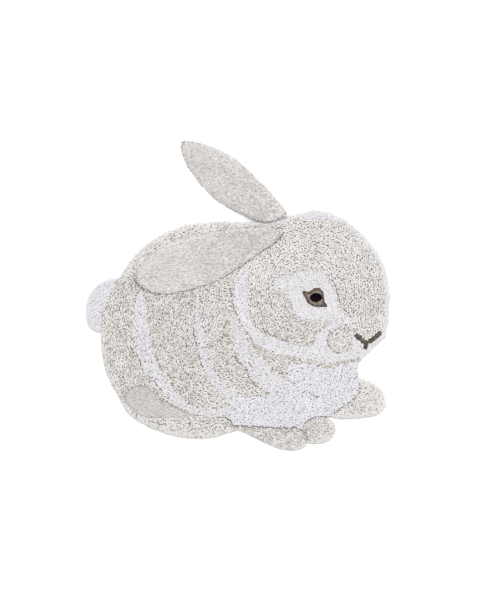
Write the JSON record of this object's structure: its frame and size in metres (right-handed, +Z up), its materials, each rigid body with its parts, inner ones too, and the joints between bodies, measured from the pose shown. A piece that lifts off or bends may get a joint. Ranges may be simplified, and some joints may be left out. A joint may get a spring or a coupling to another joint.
{
  "type": "rabbit shaped kids rug",
  "caption": "Flat tufted cotton floor rug in the shape of a sitting rabbit, with loose padded ears, a white tail and a stitched eye and mouth.",
  "frame": {"origin": "middle of the box around the rug, at the floor", "axes": "+X from the tail to the nose, +Y from the paws to the ear tip, +Z up from the floor through the pile"},
  "size_m": [0.9876, 1.0072, 0.029],
  "materials": {
    "beige_pile": "matte cut cotton pile, natural beige with a speckled grain",
    "ear_pile": "matte short cotton pile, smoother and a shade darker",
    "brown_yarn": "matte brown stitched yarn",
    "black_yarn": "matte black stitched yarn",
    "white_pile": "matte white cotton pile, long and rough on the chest, short and smooth elsewhere"
  },
  "bodies": {
    "root": {"rug_body": "beige_pile", "ear_far": "ear_pile", "ear_near": "ear_pile", "eye_iris": "brown_yarn", "eye_pupil": "black_yarn", "mouth": "brown_yarn"}
  },
  "joints": []
}
